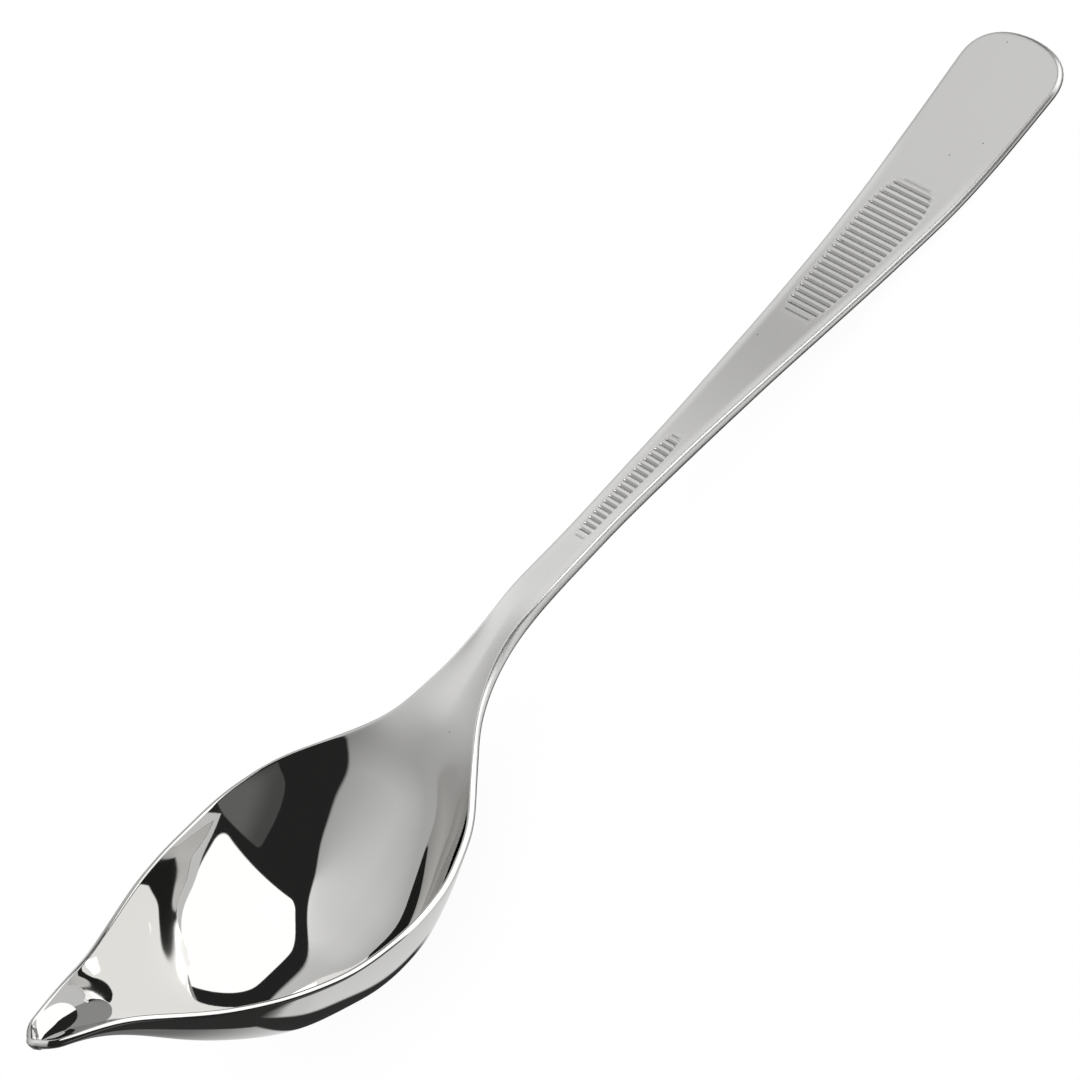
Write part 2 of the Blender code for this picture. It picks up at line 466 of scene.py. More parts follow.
class SteelFinish(bpy.types.PropertyGroup):
    """Finish of the steel."""

    polished: colour_property("Polished", "Colour of the mirror-polished bowl", (0.71, 0.705, 0.69))
    satin: colour_property("Satin", "Colour of the satin handle", (0.88, 0.875, 0.86))
    # The groove colour darkens the grooves as painted shade; the duller satin and the streaks take their
    # tone from it too
    groove: colour_property("Groove", "Colour of the pressed grooves", (0.56, 0.555, 0.54))
    bowl_roughness: share_property("Bowl roughness", "Roughness of the mirror polish", 0.03)
    handle_roughness: share_property("Handle roughness", "Roughness of the satin handle", 0.28)
    rim_roughness: share_property("Rim roughness", "Roughness of the handle's edge", 0.32)


class StudioLook(bpy.types.PropertyGroup):
    """Floor, light and camera."""

    floor_colour: colour_property("Floor colour", "Colour of the pale floor", (0.9, 0.9, 0.9))
    card_level: FloatProperty(
        name="Card level",
        description="Brightness of the white card beside the spoon",
        default=1.42,
        min=0.0,
    )
    dark_level: FloatProperty(
        name="Dark level",
        description="Brightness of the unlit side of the studio, where the camera stands",
        default=0.022,
        min=0.0,
    )
    camera_distance: length_property("Camera distance", "From the point that the camera aims at", 819.9)
    camera_azimuth: FloatProperty(
        name="Camera azimuth",
        description="Direction of the camera around the spoon, from +X",
        default=math.radians(-99.66),
        subtype="ANGLE",
    )
    camera_elevation: FloatProperty(
        name="Camera elevation",
        description="Height of the camera above the floor, as an angle",
        default=math.radians(45.43),
        subtype="ANGLE",
    )
    camera_roll: FloatProperty(
        name="Camera roll",
        description="Turn of the camera about its line of sight",
        default=math.radians(-45.64),
        subtype="ANGLE",
    )
    camera_lens: FloatProperty(
        name="Camera lens",
        description="Focal length in millimetres on a 36 mm sensor",
        default=194.25,
    )
    camera_aim: FloatVectorProperty(
        name="Camera aim",
        description="Point that the camera looks at",
        default=(-2.5 * MM, -2.83 * MM, 22.06 * MM),
        subtype="TRANSLATION",
        size=3,
    )


def top_face(profile):
    """The sheet's top face as a grid from nose to handle end."""
    distances = profile.stations()
    sections = [profile.section(at) for at in distances]
    columns = len(distances) - 1
    work = bmesh.new()
    work.verts.layers.float.new("groove")
    work.verts.layers.float.new("edge_and_painted_highlight")
    bmesh.ops.create_grid(work, x_segments=columns, y_segments=ACROSS, size=1.0)
    for vert in work.verts:
        column = round((vert.co.x + 1) / 2 * columns)
        section = sections[column]
        share = section.share(vert.co.y)
        along = distances[column] - profile.length / 2
        vert.co = Vector((along, section.half * share, section.height(share))) * MM
    bmesh.ops.remove_doubles(work, verts=work.verts, dist=MERGE_DISTANCE * MM)
    bmesh.ops.recalc_face_normals(work, faces=work.faces)
    if sum(face.normal.z for face in work.faces) < 0:
        bmesh.ops.reverse_faces(work, faces=work.faces)
    work.normal_update()
    return work


def rim_frames(work):
    """Outward direction along the sheet and upward normal at every vertex of its edge."""
    frames = {}
    for vert in work.verts:
        if not vert.is_boundary:
            continue
        ends = [edge.other_vert(vert) for edge in vert.link_edges if edge.is_boundary]
        along = (ends[1].co - ends[0].co).normalized()
        normal = vert.normal.copy()
        outward = along.cross(normal).normalized()
        inside = Vector((0.0, 0.0, 0.0))
        for face in vert.link_faces:
            inside += face.calc_center_median() - vert.co
        if outward.dot(inside) > 0:
            outward.negate()
        frames[vert] = (outward, normal)
    return frames


def under_face(work, profile):
    """Copy the top face down by the sheet's thickness, and give that thickness at every vertex."""
    thickness = {v: profile.sheet(v.co.x / MM + profile.length / 2) * MM for v in work.verts}
    normals = {v: v.normal.copy() for v in work.verts}
    made = bmesh.ops.duplicate(work, geom=list(work.verts) + list(work.edges) + list(work.faces))
    for vert, depth in thickness.items():
        made["vert_map"][vert].co = vert.co - normals[vert] * depth
    copies = [item for item in made["geom"] if isinstance(item, bmesh.types.BMFace)]
    bmesh.ops.reverse_faces(work, faces=copies)
    return thickness


def press_ribs(work, verts, profile):
    """Press the rib patches into the top face; keep the grooves' painted shade and the painted highlight
    shares for the finish.
    """
    groove = work.verts.layers.float["groove"]
    edge_and_painted_highlight = work.verts.layers.float["edge_and_painted_highlight"]
    for vert in verts:
        at = vert.co.x / MM + profile.length / 2
        across = vert.co.y / MM
        depth, height, light = profile.rib_relief(at, across)
        vert[groove] = depth
        vert[edge_and_painted_highlight] = max(profile.edge_and_painted_highlight(at, across), light)
        vert.co.z += (height * profile.rib_height - depth * profile.groove_depth) * MM


def round_rim(work, edges, frames, thickness, profile):
    """Carry the top face's edge round to the under face along a superellipse."""
    roots = {vert: vert for vert in frames}
    origins = {vert: vert.co.copy() for vert in frames}
    places = {vert: vert.co.x / MM + profile.length / 2 for vert in frames}
    bulges = {vert: profile.bulge(at) * MM for vert, at in places.items()}
    shares = {vert: smooth_step(*RIM_TURN, at) for vert, at in places.items()}
    for step in range(1, RIM_STEPS + 1):
        angle = math.pi * step / RIM_STEPS
        side = max(math.sin(angle), 0.0)
        turn = math.cos(angle)
        squareness = RIM_SQUARENESS if turn > 0 else RIM_ROUNDNESS
        made = bmesh.ops.extrude_edge_only(work, edges=edges)
        new_verts = {item for item in made["geom"] if isinstance(item, bmesh.types.BMVert)}
        new_edges = [item for item in made["geom"] if isinstance(item, bmesh.types.BMEdge)]
        edges = [edge for edge in new_edges if set(edge.verts) <= new_verts]
        new_roots = {}
        for vert in new_verts:
            neighbours = [edge.other_vert(vert) for edge in vert.link_edges]
            new_roots[vert] = next(roots[other] for other in neighbours if other in roots)
        for vert, root in new_roots.items():
            outward, normal = frames[root]
            power = 2 / (squareness + (RIM_ROUNDNESS - squareness) * shares[root])
            out = side ** power * bulges[root]
            down = (0.5 - 0.5 * math.copysign(abs(turn) ** power, turn)) * thickness[root]
            vert.co = origins[root] + outward * out - normal * down
        roots = new_roots


def spoon_mesh(profile):
    """The whole sheet: top face, under face, rounded rim and pressed grooves."""
    work = top_face(profile)
    top_verts = list(work.verts)
    frames = rim_frames(work)
    edges = [edge for edge in work.edges if edge.is_boundary]
    thickness = under_face(work, profile)
    press_ribs(work, top_verts, profile)
    round_rim(work, edges, frames, thickness, profile)
    bmesh.ops.remove_doubles(work, verts=work.verts, dist=MERGE_DISTANCE * MM)
    bmesh.ops.recalc_face_normals(work, faces=work.faces)
    mesh = bpy.data.meshes.new("polished_spoon")
    work.to_mesh(mesh)
    work.free()
    mesh.shade_smooth()
    return mesh


def add_node(tree, kind, x, y, **values):
    """Add a shader node at a place in the editor, with its settings and input values."""
    made = tree.nodes.new(kind)
    made.location = (x, y)
    for name, value in values.items():
        if name in made.inputs:
            made.inputs[name].default_value = value
        else:
            setattr(made, name, value)
    return made


def add_math(tree, operation, first, second, x, y, third=0.0):
    """Add a math node for two or three values; each is a socket or a number."""
    made = add_node(tree, "ShaderNodeMath", x, y, operation=operation)
    for socket, value in zip(made.inputs, (first, second, third)):
        if isinstance(value, bpy.types.NodeSocket):
            tree.links.new(value, socket)
        else:
            socket.default_value = value
    return made.outputs["Value"]


def add_range(tree, value, start, stop, x, y, low=0.0, high=1.0):
    """Add a smooth rise from low to high while the value goes from start to stop."""
    made = add_node(tree, "ShaderNodeMapRange", x, y, interpolation_type="SMOOTHSTEP")
    made.inputs["From Min"].default_value = start
    made.inputs["From Max"].default_value = stop
    made.inputs["To Min"].default_value = low
    made.inputs["To Max"].default_value = high
    tree.links.new(value, made.inputs["Value"])
    return made.outputs["Result"]


def add_colour_mix(tree, share, first, second, x, y):
    """Add a mix of two colours; each is a socket or a colour."""
    made = add_node(tree, "ShaderNodeMix", x, y, data_type="RGBA")
    tree.links.new(share, made.inputs["Factor"])
    colours = [socket for socket in made.inputs if socket.type == "RGBA"]
    for socket, value in zip(colours, (first, second)):
        if isinstance(value, bpy.types.NodeSocket):
            tree.links.new(value, socket)
        else:
            socket.default_value = (*value, 1.0)
    return next(socket for socket in made.outputs if socket.type == "RGBA")


# Satin of the handle, in millimetres from the tip: where the mirror polish stops and the satin is full.
# Its streaks and its grain: scale, detail, roughness, and how far they tint it and stand out
POLISH_STOP = 57.0
SATIN_START = 76.0
STREAK_SCALE = (45.0, 2600.0, 2600.0)
STREAK_DETAIL = 3.0
STREAK_ROUGHNESS = 0.6
STREAK_RANGE = (0.2, 0.8)
STREAK_TONE = 0.06
GRAIN_SCALE = 5200.0
GRAIN_DETAIL = 2.0
BUMP_STRENGTH = 0.25
BUMP_HEIGHT = 0.012

# Pits: cells per metre, radius in cells, share of the cells without one, and colour
PIT_SCALE = 260.0
PIT_RADIUS = 0.035
PIT_RARITY = 0.86
PIT_COLOUR = (0.06, 0.055, 0.05)

# Painted highlight along the handle's edges: colour and where along the handle it ends. Shares of the
# band over which the brushing and the pits stop, and over which the rim's own roughness begins
EDGE_HIGHLIGHT_COLOUR = (0.92, 0.915, 0.90)
EDGE_HIGHLIGHT_FADE = (172.0, 186.0)
BRUSHED_STOP = (0.5, 0.3)
RIM_START = (0.9, 1.0)

# Duller satin: round the handle's middle and towards its broad end, as shares of the groove's colour
DULL_MIDDLE = 146.0
DULL_REACH = 26.0
DULL_SHARE = 0.45
BROAD_START = (100.0, 135.0)
BROAD_SHARE = 0.40


def pit_mask(tree, place):
    """A few tiny dark pits, one in some cells of a plan-view pattern."""
    cells = add_node(tree, "ShaderNodeTexVoronoi", -1200, -700, voronoi_dimensions="2D", Scale=PIT_SCALE)
    tree.links.new(place, cells.inputs["Vector"])
    near = add_range(tree, cells.outputs["Distance"], PIT_RADIUS, PIT_RADIUS / 2, -1000, -700)
    parts = add_node(tree, "ShaderNodeSeparateColor", -1000, -950)
    tree.links.new(cells.outputs["Color"], parts.inputs[0])
    chosen = add_math(tree, "GREATER_THAN", parts.outputs["Red"], PIT_RARITY, -800, -950)
    return add_math(tree, "MULTIPLY", near, chosen, -600, -700)


def satin_colour(tree, along, edge_and_painted_highlight, finish):
    """Colour of the handle: duller round its middle and at its broad end, with a painted highlight along
    its edges.
    """
    from_dull = add_math(tree, "SUBTRACT", along, DULL_MIDDLE, -1200, 500)
    from_dull = add_math(tree, "ABSOLUTE", from_dull, 0.0, -1000, 500)
    dull = add_range(tree, from_dull, 0.0, DULL_REACH, -800, 500, low=DULL_SHARE, high=0.0)
    broad = add_range(tree, along, *BROAD_START, -1000, 700, high=BROAD_SHARE)
    dull = add_math(tree, "ADD", dull, broad, -700, 600)
    colour = add_colour_mix(tree, dull, finish.satin, finish.groove, -600, 500)
    # Painted highlight: the colour lightens along the handle's edges and round the rib patches
    light = add_range(tree, along, *EDGE_HIGHLIGHT_FADE, -1000, 0, low=1.0, high=0.0)
    light = add_math(tree, "MULTIPLY", light, edge_and_painted_highlight, -800, 0)
    return add_colour_mix(tree, light, colour, EDGE_HIGHLIGHT_COLOUR, -600, 0)


def streak_noise(tree, place):
    """Noise drawn out along the handle, for the marks of the brushing."""
    stretch = add_node(tree, "ShaderNodeMapping", -1500, -500, Scale=STREAK_SCALE)
    tree.links.new(place, stretch.inputs["Vector"])
    streaks = add_node(tree, "ShaderNodeTexNoise", -1200, -450, Scale=1.0, Detail=STREAK_DETAIL)
    streaks.inputs["Roughness"].default_value = STREAK_ROUGHNESS
    tree.links.new(stretch.outputs["Vector"], streaks.inputs["Vector"])
    return streaks.outputs[0]


def brushed_normal(tree, place, streak, brushed):
    """Normal of the fine relief that brushing leaves on the satin."""
    grains = add_node(tree, "ShaderNodeTexNoise", -1200, -1200, Scale=GRAIN_SCALE, Detail=GRAIN_DETAIL)
    tree.links.new(place, grains.inputs["Vector"])
    relief = add_math(tree, "ADD", streak, grains.outputs[0], -800, -1100)
    relief = add_math(tree, "MULTIPLY", relief, brushed, -600, -1100)
    bump = add_node(tree, "ShaderNodeBump", -300, -400, Strength=BUMP_STRENGTH, Distance=BUMP_HEIGHT * MM)
    tree.links.new(relief, bump.inputs["Height"])
    return bump.outputs["Normal"]


def steel_material(finish, profile):
    """Stainless steel: mirror polish in the bowl that turns to lengthwise satin on the handle."""
    material = bpy.data.materials.new("stainless_steel")
    material.use_nodes = True
    tree = material.node_tree
    link = tree.links.new
    shader = tree.nodes["Principled BSDF"]
    shader.location = (450, 200)
    shader.inputs["Metallic"].default_value = 1.0
    tree.nodes["Material Output"].location = (800, 200)

    place = add_node(tree, "ShaderNodeTexCoord", -1900, 0).outputs["Object"]
    split = add_node(tree, "ShaderNodeSeparateXYZ", -1700, 300)
    link(place, split.inputs[0])
    middle = profile.length / 2
    along = add_math(tree, "MULTIPLY_ADD", split.outputs["X"], 1 / MM, -1500, 300, third=middle)
    satin = add_range(tree, along, POLISH_STOP, SATIN_START, -1200, 300)
    groove = add_node(tree, "ShaderNodeAttribute", -1500, -100, attribute_name="groove").outputs["Fac"]
    # This band carries the painted highlights of the edges, the patch outlines and the rib tops
    edges = add_node(tree, "ShaderNodeAttribute", -1500, -300, attribute_name="edge_and_painted_highlight")
    edge_and_painted_highlight = edges.outputs["Fac"]
    brushed = add_range(tree, edge_and_painted_highlight, *BRUSHED_STOP, -800, -800)
    brushed = add_math(tree, "MULTIPLY", brushed, satin, -600, -850)
    streak = streak_noise(tree, place)

    colour = satin_colour(tree, along, edge_and_painted_highlight, finish)
    colour = add_colour_mix(tree, satin, finish.polished, colour, -400, 300)
    tone = add_range(tree, streak, *STREAK_RANGE, -1000, -450, high=STREAK_TONE)
    tone = add_math(tree, "MULTIPLY", tone, satin, -800, -450)
    colour = add_colour_mix(tree, tone, colour, finish.groove, -200, 200)
    # Painted shade: the grooves darken towards the groove colour with their depth
    colour = add_colour_mix(tree, groove, colour, finish.groove, 0, 200)
    pits = add_math(tree, "MULTIPLY", pit_mask(tree, place), brushed, -400, -700)
    colour = add_colour_mix(tree, pits, colour, PIT_COLOUR, 200, 200)
    link(colour, shader.inputs["Base Color"])

    roughness = (finish.handle_roughness, finish.rim_roughness)
    rough = add_range(tree, edge_and_painted_highlight, *RIM_START, -800, -250, *roughness)
    rough = add_math(tree, "MULTIPLY", rough, satin, -600, -250)
    rough = add_math(tree, "MAXIMUM", rough, finish.bowl_roughness, -400, -250)
    link(rough, shader.inputs["Roughness"])
    link(brushed_normal(tree, place, streak, brushed), shader.inputs["Normal"])
    return material


class SPOON_OT_steel_spoon(bpy.types.Operator):
    """Build the spoon and give it its steel"""

    bl_idname = "spoon.steel_spoon"
    bl_label = "Steel spoon"

    def execute(self, context):
        profile = SpoonProfile(context.scene.spoon_shape)
        spoon = bpy.data.objects.new("polished_spoon", spoon_mesh(profile))
        context.scene.collection.objects.link(spoon)
        spoon.data.materials.append(steel_material(context.scene.spoon_finish, profile))
        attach(spoon, "root")
        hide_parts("spoon")
        return {"FINISHED"}


# Surfaces of the studio as seen from the spoon: corners as azimuth from +X and elevation, in degrees
CARD_CORNERS = [(-18.0, 76.0), (-72.5, 2.0), (3.0, -5.0), (35.5, 34.5)]
WALL_CORNERS = [(49.5, -9.0), (44.5, 51.0), (43.0, 62.0), (215.5, 71.5), (203.5, -4.5)]
STAND_CORNERS = [(-76.0, -2.0), (-114.0, -2.0), (-114.0, 29.5), (-76.0, 29.5)]

# Brightness of the pale wall from the floor up: (elevation in degrees, level)
WALL_LEVELS = [(0.0, 0.34), (15.0, 0.46), (30.0, 0.49), (50.0, 0.70), (85.0, 0.78)]

# How the wall darkens along its length: azimuth at which it has these levels, and loss per radian
WALL_MIDDLE = 115.0
WALL_LOSS = 0.16

# Brightness of the stand from its foot to its top: (elevation in degrees, level)
STAND_FOOT = (9.0, 0.13)
STAND_TOP = (26.0, 0.06)

# Corner radius of the patches and the softness of their edges, as a share of that radius
CARD_ROUNDING = (0.10, 0.14)
WALL_ROUNDING = (0.10, 0.50)
STAND_ROUNDING = (0.06, 0.30)


def direction(azimuth, elevation):
    """Unit vector for an azimuth from +X and an elevation, in degrees."""
    turn, tilt = math.radians(azimuth), math.radians(elevation)
    return Vector((math.cos(tilt) * math.cos(turn), math.cos(tilt) * math.sin(turn), math.sin(tilt)))


def patch_mask(tree, place, corners, radius, softness, y):
    """Mask of the directions inside a convex patch of the studio, with its corners rounded off.

    A point is inside where its shares of the radius, by which it comes too near the sides, have a
    sum of squares under 1.
    """
    points = [direction(*corner) for corner in corners]
    middle = sum(points, Vector((0.0, 0.0, 0.0)))
    total = 0.0
    for i, point in enumerate(points):
        normal = point.cross(points[(i + 1) % len(points)]).normalized()
        if normal.dot(middle) < 0:
            normal.negate()
        side = add_node(tree, "ShaderNodeVectorMath", -1600, y - 160 * i, operation="DOT_PRODUCT")
        tree.links.new(place, side.inputs[0])
        side.inputs[1].default_value = normal / radius
        near = add_math(tree, "SUBTRACT", 1.0, side.outputs["Value"], -1400, y - 160 * i)
        near = add_math(tree, "MAXIMUM", near, 0.0, -1200, y - 160 * i)
        square = add_math(tree, "MULTIPLY", near, near, -1000, y - 160 * i)
        total = add_math(tree, "ADD", total, square, -800, y - 160 * i)
    return add_range(tree, total, 1 + softness, 1 - softness, -600, y)


def wall_light(tree, split, y):
    """Brightness of the pale wall: lighter upwards and towards the handle."""
    turn = add_math(tree, "ARCSINE", split.outputs["Z"], 0.0, -1200, y)
    turn = add_math(tree, "DIVIDE", turn, math.pi / 2, -1000, y)
    rise = add_node(tree, "ShaderNodeValToRGB", -800, y)
    stops = rise.color_ramp.elements
    while len(stops) < len(WALL_LEVELS):
        stops.new(1.0)
    for stop, (elevation, level) in zip(stops, WALL_LEVELS):
        stop.position = elevation / 90
        stop.color = (level, level, level, 1.0)
    tree.links.new(turn, rise.inputs["Fac"])
    middle = direction(WALL_MIDDLE, 0.0)
    ahead = add_math(tree, "MULTIPLY", split.outputs["Y"], middle.y, -1400, y - 300)
    ahead = add_math(tree, "MULTIPLY_ADD", split.outputs["X"], middle.x, -1200, y - 300, third=ahead)
    aside = add_math(tree, "MULTIPLY", split.outputs["X"], -middle.y, -1400, y - 600)
    aside = add_math(tree, "MULTIPLY_ADD", split.outputs["Y"], middle.x, -1200, y - 600, third=aside)
    along = add_math(tree, "ARCTAN2", aside, ahead, -1000, y - 500)
    loss = add_math(tree, "MULTIPLY", along, WALL_LOSS, -800, y - 500)
    return add_math(tree, "SUBTRACT", rise.outputs["Color"], loss, -450, y)


def stand_light(tree, height, y):
    """Brightness of the stand by the camera: lit at its foot."""
    (foot, foot_level), (top, top_level) = STAND_FOOT, STAND_TOP
    low, high = math.sin(math.radians(foot)), math.sin(math.radians(top))
    return add_range(tree, height, low, high, -600, y, low=foot_level, high=top_level)


def studio_world(look):
    """Unlit studio with a white card on one side and a pale wall and ceiling on the other."""
    world = bpy.data.worlds.new("studio")
    world.use_nodes = True
    tree = world.node_tree
    background = tree.nodes["Background"]
    background.inputs["Color"].default_value = (1.0, 1.0, 1.0, 1.0)
    place = add_node(tree, "ShaderNodeTexCoord", -1700, 0).outputs["Generated"]
    split = add_node(tree, "ShaderNodeSeparateXYZ", -1700, -1300)
    tree.links.new(place, split.inputs[0])
    height = split.outputs["Z"]
    card = patch_mask(tree, place, CARD_CORNERS, *CARD_ROUNDING, 1400)
    wall = patch_mask(tree, place, WALL_CORNERS, *WALL_ROUNDING, 500)
    stand = patch_mask(tree, place, STAND_CORNERS, *STAND_ROUNDING, -500)
    light = add_math(tree, "MULTIPLY", card, look.card_level, -700, 1400)
    wall = add_math(tree, "MULTIPLY", wall, wall_light(tree, split, -1300), -300, 500)
    light = add_math(tree, "ADD", light, wall, -100, 700)
    stand = add_math(tree, "MULTIPLY", stand, stand_light(tree, height, -900), -300, -500)
    light = add_math(tree, "ADD", light, stand, 100, 500)
    light = add_math(tree, "ADD", light, look.dark_level, 300, 500)
    seen = add_node(tree, "ShaderNodeLightPath", 300, 800).outputs["Is Camera Ray"]
    shown = add_math(tree, "MAXIMUM", light, seen, 500, 500)
    tree.links.new(shown, background.inputs["Strength"])
    background.location = (700, 300)
    tree.nodes["World Output"].location = (900, 300)
    bpy.context.scene.world = world


# Floor: its side in metres, and how far under the spoon it lies in millimetres
FLOOR_SIZE = 4.0
FLOOR_DROP = 0.05

# Open sky over a floor point: how far it is looked for, and in how many directions. To the camera, the
# floor rises from its darkest level to white between these shares of open sky
SHADOW_REACH = 90.0
SKY_SAMPLES = 16
SEEN_SHADOW = (0.0, 0.8)
SEEN_LEAST = 0.96

# Floor as the steel shows it beside the handle, with painted shadow and light: shares of open sky over
# which its painted shadow is lost, the shadow's level, and the painted light levels in front and behind
# with the stretch between them
HANDLE_SHADOW = (0.78, 0.93)
SHADOW_LEVEL = 0.03
HANDLE_GROUND_LIGHT = (0.70, 0.33)
HANDLE_BACK = (0.0, 6.0)

# Floor as the steel shows it round the bowl, in millimetres from the tip and across. A painted shadow
# covers the ground in front up to two lines (from tip, across, slope), with a painted lit corner; behind,
# painted light brightens it towards the handle. Past the last stretch the handle's ground takes over
BOWL_SHADOW_LINES = [(-1.0, 0.0, -0.77), (11.0, -10.0, 0.5)]
BOWL_SHADOW_END = (48.0, 42.0)
PAINTED_LIT_CORNER = (11.0, -16.0)
PAINTED_LIT_LEVEL = 0.72
GROUND_SOFTNESS = 0.8
LIT_SOFTNESS = 4.0
GROUND_RISE = (0.0, 24.0)
BOWL_GROUND_LIGHT = (0.18, 0.78)
BOWL_SHADOW_LEVEL = 0.034
BOWL_STOP = (72.0, 62.0)

# Soft light over the handle: place, aim and size in millimetres, and power in watts
LAMP_PLACE = (85.0, -50.0, 205.0)
LAMP_AIM = (55.0, 0.0, 5.0)
LAMP_SIZE = (80.0, 70.0)
LAMP_POWER = 0.0255

# Camera: width of its sensor in millimetres, and the nearest that it sees in metres
SENSOR_WIDTH = 36.0
CLIP_START = 0.01


def painted_bowl_ground(tree, along, across):
    """Level of the floor round the bowl as the steel shows it, with painted shadow and painted light."""
    soft = GROUND_SOFTNESS
    dark = 0.0
    # Painted shadow: the ground in front of the bowl is dark up to the two lines
    for i, (from_tip, side, slope) in enumerate(BOWL_SHADOW_LINES):
        y = -900 - 200 * i
        line = add_math(tree, "MULTIPLY_ADD", along, -slope, -1700, y, third=slope * from_tip - side)
        beyond = add_math(tree, "ADD", across, line, -1500, y)
        front = add_range(tree, beyond, soft, -soft, -1300, y)
        dark = add_math(tree, "MAXIMUM", dark, front, -1100, y)
    dark = add_math(tree, "MULTIPLY", dark, add_range(tree, along, *BOWL_SHADOW_END, -1100, -1400), -900, -1100)
    # Painted light: a lit corner past the dark lines
    corner_start, corner_side = PAINTED_LIT_CORNER
    lit = add_range(tree, across, corner_side + soft, corner_side - soft, -1300, -1700)
    past = add_range(tree, along, corner_start - LIT_SOFTNESS, corner_start + LIT_SOFTNESS, -1300, -1950)
    lit = add_math(tree, "MULTIPLY", lit, past, -1100, -1700)
    dark = add_math(tree, "SUBTRACT", dark, lit, -700, -1100)
    dark = add_math(tree, "MAXIMUM", dark, 0.0, -500, -1100)
    open_share = add_math(tree, "SUBTRACT", 1.0, dark, -300, -1100)
    # Painted light: the ground brightens towards the handle
    level = add_range(tree, along, *GROUND_RISE, -900, -1600, *BOWL_GROUND_LIGHT)
    lit = add_math(tree, "MULTIPLY", lit, PAINTED_LIT_LEVEL, -900, -1850)
    level = add_math(tree, "MAXIMUM", level, lit, -700, -1600)
    level = add_math(tree, "MULTIPLY", level, open_share, -300, -1400)
    return add_math(tree, "MAXIMUM", level, BOWL_SHADOW_LEVEL, -100, -1300)


def painted_steel_ground(tree, open_sky):
    """Level of the floor as the steel shows it: painted shadow beside the handle and in front of the
    bowl.
    """
    place = add_node(tree, "ShaderNodeNewGeometry", -2100, -900).outputs["Position"]
    split = add_node(tree, "ShaderNodeSeparateXYZ", -2100, -1200)
    tree.links.new(place, split.inputs[0])
    to_tip = -CAD_LOW.x / MM
    along = add_math(tree, "MULTIPLY_ADD", split.outputs["X"], 1 / MM, -1900, -900, third=to_tip)
    across = add_math(tree, "MULTIPLY", split.outputs["Y"], 1 / MM, -1900, -1200)
    by_bowl = painted_bowl_ground(tree, along, across)
    # Painted shadow beside the handle from the open sky, with painted light levels in front and behind
    open_share = add_range(tree, open_sky, *HANDLE_SHADOW, -700, -700)
    open_level = add_range(tree, across, *HANDLE_BACK, -700, -500, *HANDLE_GROUND_LIGHT)
    by_handle = add_math(tree, "MULTIPLY", open_level, open_share, -500, -700)
    by_handle = add_math(tree, "MAXIMUM", by_handle, SHADOW_LEVEL, -300, -700)
    share = add_range(tree, along, *BOWL_STOP, -300, -900)
    change = add_math(tree, "SUBTRACT", by_bowl, by_handle, 100, -900)
    change = add_math(tree, "MULTIPLY", change, share, 300, -900)
    return add_math(tree, "ADD", by_handle, change, 500, -700)


def floor_material(look):
    """Pale floor that shows white with a faint shadow, and to the steel a darker ground of painted shadow
    and light.
    """
    material = bpy.data.materials.new("pale_floor")
    material.use_nodes = True
    tree = material.node_tree
    link = tree.links.new
    shader = tree.nodes["Principled BSDF"]
    shader.inputs["Base Color"].default_value = (*look.floor_colour, 1.0)
    shader.inputs["Roughness"].default_value = 1.0
    shader.inputs["Specular IOR Level"].default_value = 0.0
    sky = add_node(tree, "ShaderNodeAmbientOcclusion", -900, -300, samples=SKY_SAMPLES)
    sky.inputs["Distance"].default_value = SHADOW_REACH * MM
    open_sky = sky.outputs["AO"]
    paths = add_node(tree, "ShaderNodeLightPath", -900, 300)
    by_camera = paths.outputs["Is Camera Ray"]
    by_steel = paths.outputs["Is Glossy Ray"]
    seen = add_range(tree, open_sky, *SEEN_SHADOW, -600, -200, low=SEEN_LEAST)
    direct = add_math(tree, "MULTIPLY", seen, by_camera, -400, -200)
    glossy = add_math(tree, "MULTIPLY", painted_steel_ground(tree, open_sky), by_steel, 700, -600)
    level = add_math(tree, "ADD", direct, glossy, 900, -400)
    white = add_node(tree, "ShaderNodeEmission", 1100, -300)
    link(level, white.inputs["Strength"])
    shown = add_math(tree, "MAXIMUM", by_camera, by_steel, -400, 300)
    shown = add_math(tree, "MAXIMUM", shown, paths.outputs["Is Transmission Ray"], -200, 300)
    blend = add_node(tree, "ShaderNodeMixShader", 1300, 0)
    link(shown, blend.inputs[0])
    link(shader.outputs[0], blend.inputs[1])
    link(white.outputs[0], blend.inputs[2])
    output = tree.nodes["Material Output"]
    output.location = (1500, 0)
    link(blend.outputs[0], output.inputs["Surface"])
    return material


def camera_place(look):
    """World matrix of the camera from its angles, distance and aim."""
    back = direction(math.degrees(look.camera_azimuth), math.degrees(look.camera_elevation))
    level = Vector((0.0, 0.0, 1.0)).cross(back).normalized()
    upright = back.cross(level)
    roll = look.camera_roll
    right = level * math.cos(roll) + upright * math.sin(roll)
    up = upright * math.cos(roll) - level * math.sin(roll)
    turn = Matrix((right, up, back)).transposed().to_4x4()
    return Matrix.Translation(Vector(look.camera_aim) + back * look.camera_distance) @ turn


def pale_floor(look):
    """A large square floor just under the spoon."""
    work = bmesh.new()
    bmesh.ops.create_grid(work, x_segments=1, y_segments=1, size=FLOOR_SIZE / 2)
    bmesh.ops.translate(work, verts=work.verts, vec=(0.0, 0.0, -FLOOR_DROP * MM))
    mesh = bpy.data.meshes.new("floor")
    work.to_mesh(mesh)
    work.free()
    mesh.materials.append(floor_material(look))
    floor = bpy.data.objects.new("floor", mesh)
    bpy.context.scene.collection.objects.link(floor)


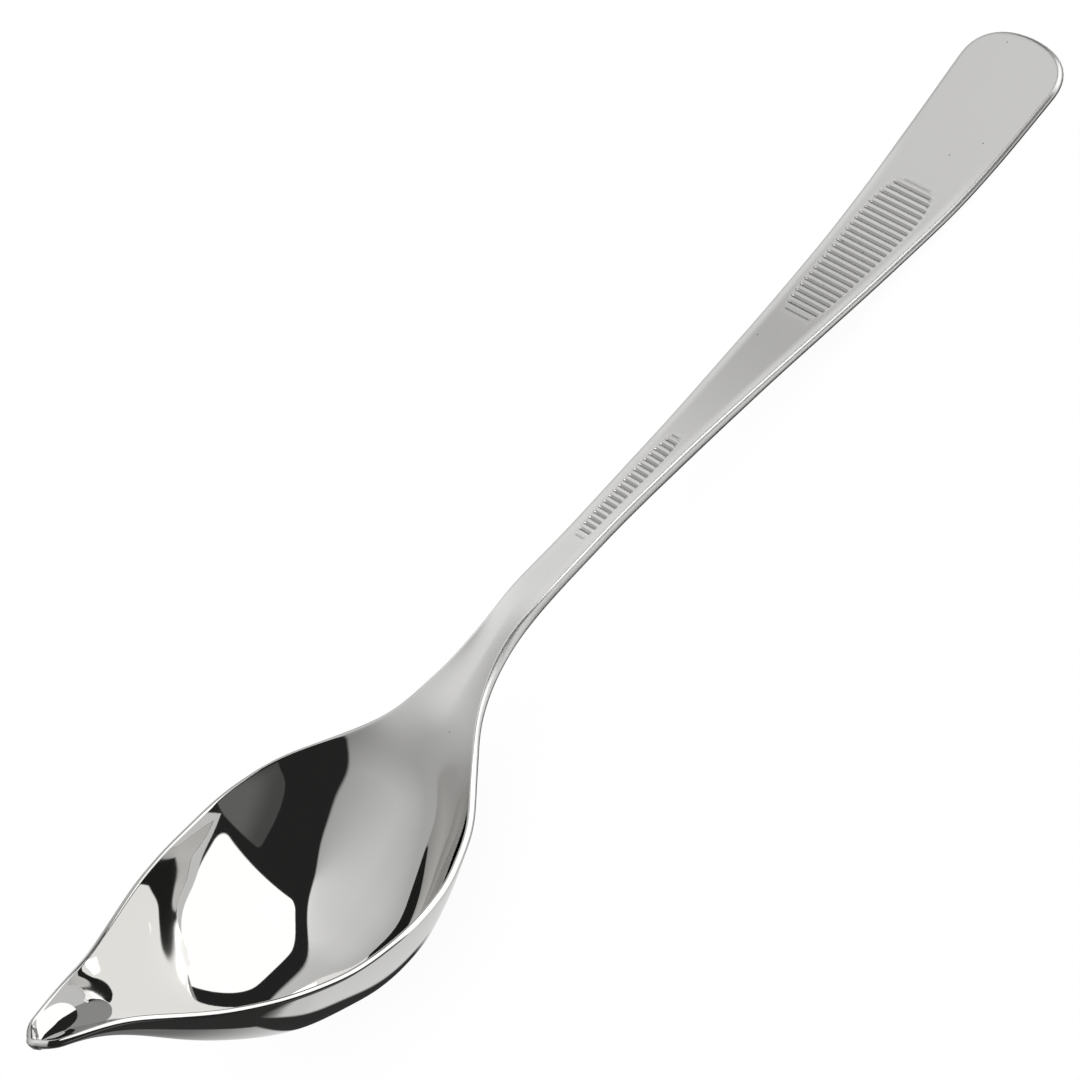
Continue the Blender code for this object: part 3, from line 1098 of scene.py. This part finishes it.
def handle_lamp():
    """A soft light over the handle, which draws the bright line along its near edge."""
    light = bpy.data.lights.new("handle_lamp", "AREA")
    light.shape = "RECTANGLE"
    light.size = LAMP_SIZE[0] * MM
    light.size_y = LAMP_SIZE[1] * MM
    light.energy = LAMP_POWER
    lamp = bpy.data.objects.new("handle_lamp", light)
    lamp.location = Vector(LAMP_PLACE) * MM
    lamp.rotation_euler = (Vector(LAMP_AIM) - Vector(LAMP_PLACE)).to_track_quat("-Z", "Y").to_euler()
    bpy.context.scene.collection.objects.link(lamp)


class SPOON_OT_studio(bpy.types.Operator):
    """Set the floor, the light and the camera"""

    bl_idname = "spoon.studio"
    bl_label = "Studio"

    def execute(self, context):
        look = context.scene.spoon_studio
        pale_floor(look)
        studio_world(look)
        handle_lamp()
        lens = bpy.data.cameras.new("camera")
        lens.lens = look.camera_lens
        lens.sensor_width = SENSOR_WIDTH
        lens.clip_start = CLIP_START
        camera = bpy.data.objects.new("camera", lens)
        camera.matrix_world = camera_place(look)
        context.scene.collection.objects.link(camera)
        context.scene.camera = camera
        context.scene.view_settings.view_transform = "Standard"
        return {"FINISHED"}


class SPOON_PT_panel(bpy.types.Panel):
    """Sizes, finish and studio of the spoon"""

    bl_idname = "SPOON_PT_panel"
    bl_label = "Saucier spoon"
    bl_space_type = "VIEW_3D"
    bl_region_type = "UI"
    bl_category = "Spoon"

    def draw(self, context):
        scene = context.scene
        for group in (scene.spoon_shape, scene.spoon_finish, scene.spoon_studio):
            column = self.layout.column(align=True)
            for name in group.__annotations__:
                column.prop(group, name)
        self.layout.operator(SPOON_OT_steel_spoon.bl_idname)
        self.layout.operator(SPOON_OT_studio.bl_idname)


CLASSES = (
    SpoonShape,
    SteelFinish,
    StudioLook,
    SPOON_OT_steel_spoon,
    SPOON_OT_studio,
    SPOON_PT_panel,
)


def register():
    for item in CLASSES:
        bpy.utils.register_class(item)
    bpy.types.Scene.spoon_shape = PointerProperty(type=SpoonShape)
    bpy.types.Scene.spoon_finish = PointerProperty(type=SteelFinish)
    bpy.types.Scene.spoon_studio = PointerProperty(type=StudioLook)


def unregister():
    del bpy.types.Scene.spoon_studio
    del bpy.types.Scene.spoon_finish
    del bpy.types.Scene.spoon_shape
    for item in reversed(CLASSES):
        bpy.utils.unregister_class(item)


def main():
    register()
    bpy.ops.spoon.steel_spoon()
    bpy.ops.spoon.studio()


if __name__ == "__main__":
    main()
